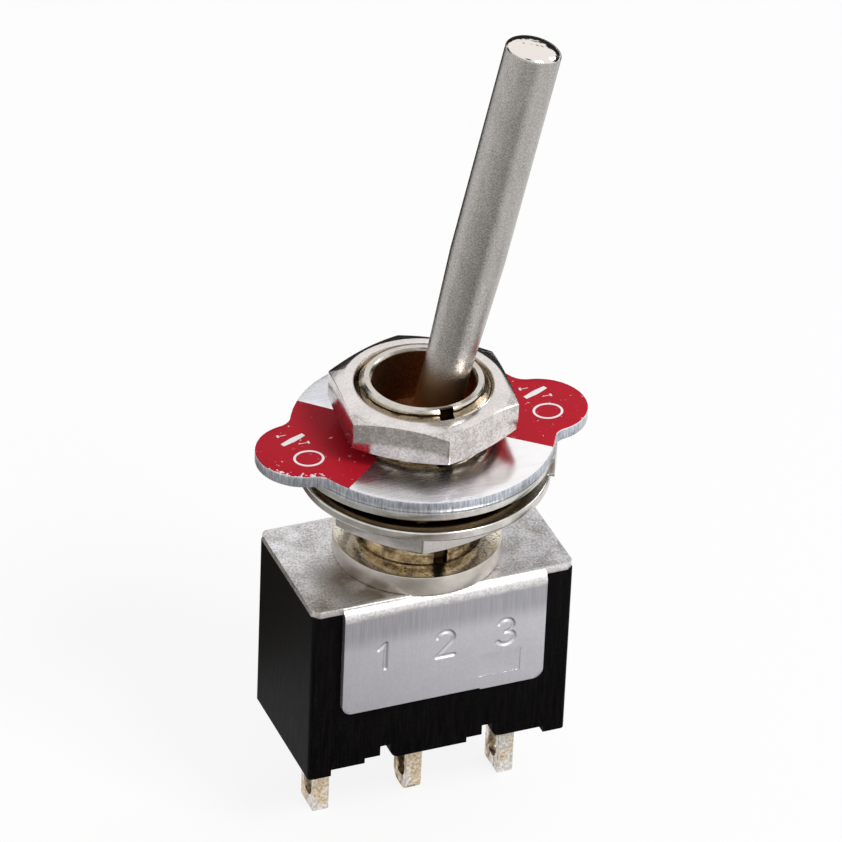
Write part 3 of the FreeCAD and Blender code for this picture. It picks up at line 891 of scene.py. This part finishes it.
# %% Lever
barrel_r = 1.1
barrel_reach = 6.9
spring_bore_r = 0.72
spring_seat = 2.1
ball_r = 2.15
ball_shoulder = 1.2
ball_steps = 16
neck_r = 1.12
taper_start = 5.6
taper_end = 11.5
grip_r = 1.32
crown_wide = 0.8
crown_high = 0.38
crown_steps = 16
cross_hole_r = 0.4
hole_columns = 48
lever_columns = 96


def lever_outline(angle):
    z = pivot.z
    tip = z + lever_reach
    ball_start = -math.degrees(math.asin(ball_shoulder / ball_r))
    ball_end = math.degrees(math.acos(neck_r / ball_r))
    outline = [
        (0, z - spring_seat),
        (spring_bore_r, z - spring_seat),
        (spring_bore_r, z - barrel_reach),
        (barrel_r, z - barrel_reach),
        (barrel_r, z - ball_shoulder),
    ]
    outline += arc((0, z), (ball_r, ball_r), ball_start, ball_end, ball_steps)
    outline += [(neck_r, z + taper_start), (grip_r, z + taper_end)]
    outline += arc((grip_r - crown_wide, tip - crown_high), (crown_wide, crown_high), 0, 90, crown_steps)
    outline.append((0, tip))
    return outline


def leant(mesh):
    """Lean a piece of the lever to the side on which it rests."""
    swing = Matrix.Rotation(lean, 4, "Y")
    mesh.transform(Matrix.Translation(pivot) @ swing @ Matrix.Translation(-pivot))
    return mesh


lever_mesh = sweep(even_angles(lever_columns), lever_outline)
bmesh.ops.remove_doubles(lever_mesh, verts=lever_mesh.verts, dist=joined_within)
drill = bmesh.new()
bmesh.ops.create_cone(
    drill, cap_ends=True, segments=hole_columns, radius1=cross_hole_r, radius2=cross_hole_r, depth=3 * ball_r
)
drill.transform(Matrix.Translation(pivot) @ Matrix.Rotation(math.pi / 2, 4, "X"))
lever_mesh = leant(cut(lever_mesh, [drill]))
piece("lever_turned", lever_mesh, "plated_lever", body="toggle", replaced=("lever",))

# %% [markdown]
# The threaded bushing: a collar below, an undercut, the thread, and a chamfered mouth whose floor
# funnels down to the lever's throat. Two slots are then cut with a Boolean: the keyway down the
# front, and inside, the slot for the lever's cross pin.

# %% Bushing
undercut_top = 1.43
mouth_floor = bushing_high.z - 2.72
throat_r = 1.75
seat_r = 2.2
seat_flare = 0.25
spigot_r = seat_r + seat_flare + 0.3
stake_r = spigot_r + 0.25
sheet_thick = 0.35
collar_soft_r = 0.07
thread_fade = 0.3
end_chamfer = 0.35
mouth_chamfer = 0.12
seat_steps = 8
keyway_half = 0.35
keyway_floor = thread_crest_r - 0.5
pin_slot_half = 0.42
pin_slot_reach = 2.57


def bushing_outline(angle):
    top = bushing_high.z
    foot = bushing_low.z
    end_r = thread_crest_r - end_chamfer
    lower = softened_outline([
        (stake_r, foot),
        (stake_r, frame_high.z - sheet_thick),
        (spigot_r, frame_high.z - sheet_thick),
        (spigot_r, 0),
        (collar_r, 0),
        (collar_r, collar_top),
        (undercut_r, collar_top),
        (undercut_r, undercut_top),
    ], collar_soft_r)
    outline = [(seat_r + seat_flare, foot), *lower[3:-3], (undercut_r, undercut_top)]
    for height in thread_rows(undercut_top + 0.05, top - 0.03):
        run_out = min((height - undercut_top) / thread_fade, 1)
        radius = undercut_r + (thread_r(angle, height) - undercut_r) * run_out
        outline.append((min(radius, end_r + top - height), height))
    outline += [
        (end_r, top),
        (mouth_r + mouth_chamfer, top),
        (mouth_r + 0.5 * mouth_chamfer, top - 0.42 * mouth_chamfer),
        (mouth_r, top - mouth_chamfer),
        (mouth_r, mouth_floor),
    ]
    seat_start = math.degrees(math.acos(throat_r / seat_r))
    outline += arc((0, pivot.z), (seat_r, seat_r), seat_start, 0, seat_steps)
    return outline


def block(low, high):
    """A box between two corners, in millimetres."""
    mesh = bmesh.new()
    bmesh.ops.create_cube(mesh, size=1.0)
    size = Vector(high) - Vector(low)
    mesh.transform(Matrix.Translation((Vector(high) + Vector(low)) / 2) @ Matrix.Diagonal((*size, 1)))
    return mesh


keyway = block(
    (-keyway_half, -collar_r - 1, collar_top + 0.002),
    (keyway_half, -keyway_floor, bushing_high.z + 1),
)
pin_slot = block(
    (-pin_slot_half, -pin_slot_reach, bushing_low.z - 1),
    (pin_slot_half, pin_slot_reach, pivot.z + pin_slot_half),
)
bushing_mesh = cut(sweep(even_angles(thread_columns), bushing_outline), [keyway, pin_slot])
piece("bushing_threaded", bushing_mesh, "plated_brass", replaced=("bushing",))

# %% [markdown]
# A hexagonal nut is a six-sided bar with its corners turned off at each end. Seen as a sweep, the
# bar's radius changes with the angle, and the chamfer's height follows the radius, which draws
# the curved edge on every flat by itself. Flats, softened corners and thread come from one outline.

# %% Nuts
nut_half = 4.0
corner_soft_r = 0.12
nut_face_inset = 0.25
nut_sink = 0.17
nut_fit = 0.02
nut_soft_r = 0.05
nut_thread_inset = 0.03
chamfer_slope = math.tan(math.radians(20))
sixth = whole_turn / 6
flat_steps = 12
corner_half = math.radians(1.6)


def hexagon_r(angle):
    """The distance from the axis to a hexagon with slightly rounded corners."""
    from_flat = (angle + sixth / 2) % sixth - sixth / 2
    corner_centre = (nut_half - corner_soft_r) / math.cos(sixth / 2)
    flat_end = math.atan(corner_centre * math.sin(sixth / 2) / nut_half)
    if abs(from_flat) <= flat_end:
        return nut_half / math.cos(from_flat)
    from_corner = sixth / 2 - abs(from_flat)
    across = corner_centre * math.sin(from_corner)
    return corner_centre * math.cos(from_corner) + math.sqrt(corner_soft_r ** 2 - across ** 2)


def nut_angles(turn):
    """Even angles on the flats and more of them round each corner."""
    angles = []
    for side in range(6):
        middle = turn + side * sixth
        for step in range(-flat_steps, flat_steps + 1):
            angles.append(middle + step / flat_steps * (sixth / 2 - corner_half))
        for step in (-1.0, -0.5, 0.0, 0.5, 1.0):
            angles.append(middle + sixth / 2 + math.radians(step))
    return sorted(angles)


def nut_outline(angle, turn, low, high):
    """Flats and chamfers outside, the bushing's thread inside."""
    face_r = nut_half - nut_face_inset
    side_r = hexagon_r(angle - turn)
    drop = (side_r - face_r) * chamfer_slope
    outside = softened_outline([
        (thread_crest_r + nut_sink, high),
        (face_r, high),
        (side_r, high - drop),
        (side_r, low + drop),
        (face_r, low),
        (thread_crest_r + nut_sink, low),
    ], nut_soft_r)
    inside = []
    for height in thread_rows(low + nut_thread_inset, high - nut_thread_inset):
        sink = thread_crest_r + nut_sink - min(height - low, high - height)
        inside.append((max(thread_r(angle, height) + nut_fit, sink), height))
    return outside + inside


for node, turn_degrees in (("panel_nut", 23.8), ("back_nut", 10.6)):
    low, high = span(node)
    turn = math.radians(turn_degrees) + sixth / 2
    mesh = sweep(nut_angles(turn), lambda angle: nut_outline(angle, turn, low.z, high.z))
    piece(node + "_threaded", mesh, "plated_nut", replaced=(node,))

# %% [markdown]
# The plain washer is a punched ring, smooth on the side the punch entered and rounded at its rim.
# It hangs a little off centre on the thread, as a loose washer does.

# %% Plain washer
washer_low, washer_high = span("flat_washer")
washer_columns = 160
washer_fit = 0.2
washer_soft_r = 0.11


def washer_outline(angle):
    outer = (washer_high.x - washer_low.x) / 2
    inner = thread_crest_r + washer_fit
    low = washer_low.z
    high = washer_high.z
    corners = [(inner, low), (outer, low), (outer, high), (inner, high)]
    return softened_outline(corners, washer_soft_r, 3)


washer_mesh = sweep(even_angles(washer_columns), washer_outline)
washer_mesh.transform(Matrix.Translation(((washer_high.x + washer_low.x) / 2, 0, 0)))
piece("flat_washer_rounded", washer_mesh, "plated_washer", replaced=("flat_washer",))

# %% [markdown]
# The indicator plate's outline is a disc with a round lobe on each side and a hollow curve where
# they meet. Seen from the centre each direction meets the outline once, so its radius is again a
# function of the angle: the lobe near the axis, then the hollow curve, then the disc. A little
# noise on the radius makes the punched edge ragged.

# %% Outline of the plate
disc_r = (plate_high.y - plate_low.y) / 2
lobe_reach = (plate_high.x - plate_low.x) / 2
lobe_r = 2.25
hollow_r = 1.0
plate_hole_r = 3.4
plate_columns = 720
plate_soft_r = 0.05
ragged_by = 0.012
ragged_size = 45
lobe_x = lobe_reach - lobe_r
hollow_far = disc_r + hollow_r
hollow_x = (hollow_far ** 2 - (lobe_r + hollow_r) ** 2 + lobe_x ** 2) / (2 * lobe_x)
hollow_turn = math.acos(hollow_x / hollow_far)
hollow_y = hollow_far * math.sin(hollow_turn)
lobe_share = lobe_r / (lobe_r + hollow_r)
lobe_end = math.atan2(hollow_y * lobe_share, lobe_x + (hollow_x - lobe_x) * lobe_share)
print("plate", round(2 * lobe_reach, 2), "by", round(2 * disc_r, 2), "mm")


def plate_edge_r(angle):
    """How far the plate reaches from its centre at an angle."""
    turn = abs((angle + math.pi / 2) % math.pi - math.pi / 2)
    if turn < lobe_end:
        return lobe_x * math.cos(turn) + math.sqrt(lobe_r ** 2 - (lobe_x * math.sin(turn)) ** 2)
    if turn < hollow_turn:
        away = hollow_turn - turn
        return hollow_far * math.cos(away) - math.sqrt(hollow_r ** 2 - (hollow_far * math.sin(away)) ** 2)
    return disc_r


def plate_outline(angle):
    """The plate's section, with three more points across its upper face."""
    ragged = noise.noise(Vector((math.cos(angle), math.sin(angle), 0)) * ragged_size)
    edge = plate_edge_r(angle) - ragged_by - ragged_by * ragged
    low = plate_low.z
    corners = [(plate_hole_r, low), (edge, low), (edge, plate_top), (plate_hole_r, plate_top)]
    rim = softened_outline(corners, plate_soft_r)
    upper = [(plate_hole_r + (edge - plate_hole_r) * share, plate_top) for share in (0.75, 0.5, 0.25)]
    return rim[:9] + upper + rim[9:]


# %% [markdown]
# The red print ends in straight lines that meet near the middle of the plate. It could be a mask
# in the material, but a second material on faces cut along those lines has a clean edge.

# %% Plate and its red fields
plate_x = (plate_low.x + plate_high.x) / 2
plate_y = (plate_low.y + plate_high.y) / 2
faces_up = 0.9
faces_outward = 0.3
rim_drop = 0.045
red_material = 1
red_apex_x = {-1: -0.56, 1: 0.99}
red_apex_y = 0.255
red_turns = (math.radians(43.3), math.radians(-40.0))


def print_red(mesh, side):
    """Cut the top face along the two edges of the print and colour what lies between them."""
    apex = Vector((red_apex_x[side], red_apex_y, 0))
    outward = []
    for turn in red_turns:
        direction = Vector((side * math.cos(turn), math.sin(turn), 0))
        across = direction.cross(Vector((0, 0, 1)))
        if across.x * side < 0:
            across.negate()
        outward.append(across)
        top = [f for f in mesh.faces if f.normal.z > faces_up and f.calc_center_median().x * side > 0]
        edges = set(e for f in top for e in f.edges)
        verts = set(v for f in top for v in f.verts)
        bmesh.ops.bisect_plane(
            mesh, geom=list(verts) + list(edges) + top, plane_co=apex, plane_no=across, dist=1e-5
        )
    for face in mesh.faces:
        middle = face.calc_center_median()
        if middle.z < plate_top - rim_drop or face.normal.z < faces_outward:
            continue
        if all((middle - apex).dot(across) > 0 for across in outward):
            face.material_index = red_material


plate_mesh = sweep(even_angles(plate_columns), plate_outline)
plate_mesh.transform(Matrix.Translation((plate_x, plate_y, 0)))
plate_mesh.normal_update()
for side in (-1, 1):
    print_red(plate_mesh, side)
piece(
    "indicator_plate_printed",
    plate_mesh,
    "indicator_sheet",
    replaced=("indicator_plate",),
    materials=[finishes["indicator_sheet"], red_print()],
)

# %% [markdown]
# The word ON stands on both lobes in worn white print: a clear O, and an N of which the thick
# diagonal and the ends of the thin uprights are left. They could be a font's, but worn letters are
# easier as strokes, each a line of points with a width at every point. The points are drawn on a
# small card, right and up, and laid down turned by a quarter.

# %% Lettering on the plate
print_thick = 0.012
print_sunk = 0.004


def lay_stroke(mesh, card_points, widths, middle, closed=False):
    """A flat stroke along points of the card, laid on the plate and just proud of it."""
    points = [Vector((middle[0] - up, middle[1] + right)) for right, up in card_points]
    low = plate_top - print_sunk
    high = plate_top + print_thick
    count = len(points)
    rings = []
    for i, here in enumerate(points):
        before = points[i - 1] if closed or i > 0 else here
        after = points[(i + 1) % count] if closed or i < count - 1 else here
        along = (after - before).normalized()
        across = Vector((-along.y, along.x)) * widths[i] / 2
        left = here - across
        right = here + across
        corners = ((*left, high), (*right, high), (*right, low), (*left, low))
        rings.append([mesh.verts.new(corner) for corner in corners])
    pairs = list(zip(rings, rings[1:]))
    if closed:
        pairs.append((rings[-1], rings[0]))
    else:
        mesh.faces.new(rings[0])
        mesh.faces.new(list(reversed(rings[-1])))
    for ring, following in pairs:
        for k in range(4):
            mesh.faces.new((ring[k], following[k], following[(k + 1) % 4], ring[(k + 1) % 4]))


letter_o = arc((0, 0), (0.60, 0.68), 0, 350, 35)
letter_o_wide = 0.115
letter_n = (
    ([(-0.27, 0.63), (0.0, 0.0), (0.27, -0.63)], [0.22, 0.32, 0.22]),
    ([(0.39, 0.58), (0.57, 0.58)], [0.10, 0.10]),
    ([(0.48, 0.58), (0.48, 0.174)], [0.03, 0.02]),
    ([(-0.51, -0.62), (-0.33, -0.62)], [0.10, 0.10]),
    ([(-0.42, -0.62), (-0.42, -0.186)], [0.03, 0.02]),
)
letter_places = (((-5.89, -0.60), (-6.05, 1.08)), ((6.21, -0.47), (6.24, 1.18)))

letters = bmesh.new()
for middle_o, middle_n in letter_places:
    lay_stroke(letters, letter_o, [letter_o_wide] * len(letter_o), middle_o, closed=True)
    for points, widths in letter_n:
        lay_stroke(letters, points, widths, middle_n)
bmesh.ops.recalc_face_normals(letters, faces=letters.faces)
piece("on_lettering", letters, "indicator_sheet", materials=[white_print()])

# %% [markdown]
# On the front flap the terminals' numbers are stamped, with rounded grooves. A mark that shows
# belongs in the mesh and not only in the finish, so real punches are made. Each is a fine net of
# points, pushed into the sheet by how close they are to a stroke, and closed behind.

# %% Punches for the numbers
stamp_depth = 0.085
stamp_half_wide = 0.16
stamp_middle_z = -3.0
stamp_places = (-3.1, 0.0, 3.1)
punch_half = (0.66, 0.92)
punch_steps = (46, 64)
punch_lift = 0.004
punch_behind = 0.5
flap_face_y = frame_low.y
digits = (
    [[(-0.28, 0.44), (0.08, 0.72), (0.08, -0.70)]],
    [arc((0, 0.32), (0.42, 0.40), 165, -35, 10) + [(-0.44, -0.70), (0.46, -0.70)]],
    [arc((-0.02, 0.36), (0.38, 0.36), 155, -90, 10), arc((0, -0.34), (0.44, 0.36), 90, -155, 12)],
)


def stroke_distance(point, strokes):
    """How far a point is from the nearest line of a number."""
    nearest = 1.0
    for stroke in strokes:
        for first, second in zip(stroke, stroke[1:]):
            start = Vector(first)
            step = Vector(second) - start
            share = min(max((point - start).dot(step) / step.length_squared, 0), 1)
            nearest = min(nearest, (point - start - step * share).length)
    return nearest


def punch(strokes, x):
    """A closed net with the strokes of one number standing out of its face."""
    mesh = bmesh.new()
    columns, rows = punch_steps
    net = []
    for i in range(columns + 1):
        line = []
        for j in range(rows + 1):
            point = Vector((punch_half[0] * (2 * i / columns - 1), punch_half[1] * (2 * j / rows - 1)))
            share = max(1 - stroke_distance(point, strokes) / stamp_half_wide, 0)
            push = stamp_depth * share * share * (3 - 2 * share) - punch_lift
            line.append(mesh.verts.new((x + point.x, flap_face_y + push, stamp_middle_z + point.y)))
        net.append(line)
    for i in range(columns):
        for j in range(rows):
            mesh.faces.new((net[i][j], net[i + 1][j], net[i + 1][j + 1], net[i][j + 1]))
    rim = bmesh.ops.extrude_edge_only(mesh, edges=[e for e in mesh.edges if e.is_boundary])
    outer = [v for v in rim["geom"] if isinstance(v, bmesh.types.BMVert)]
    for vert in outer:
        vert.co.y = flap_face_y - punch_behind
    bmesh.ops.holes_fill(mesh, edges=[e for e in mesh.edges if e.is_boundary])
    bmesh.ops.recalc_face_normals(mesh, faces=mesh.faces)
    return mesh


# %% [markdown]
# The frame's edges are softened as on any sheet that has been through a barrel, and the punches
# are cut out of its front flap.

# %% Frame with stamped numbers
frame_soft_r = 0.08
plain_frame = softened_mesh("frame", frame_soft_r)
bmesh.ops.triangulate(plain_frame, faces=plain_frame.faces)
punches = [punch(strokes, x) for strokes, x in zip(digits, stamp_places)]
piece("frame_stamped", cut(plain_frame, punches), "plated_frame", replaced=("frame",))

# %% [markdown]
# The other pieces in view keep their CAD shape and only have their edges softened: the case, the
# solder lugs, the toothed washer and the locating ring with its tab.

# %% Softened pieces
softened_pieces = {
    "case": 0.05,
    "terminal_left": 0.04,
    "terminal_centre": 0.04,
    "terminal_right": 0.04,
    "lock_washer": 0.04,
    "locating_ring": 0.04,
}
for node, width in softened_pieces.items():
    piece(node + "_softened", softened_mesh(node, width), slots[node], replaced=(node,))
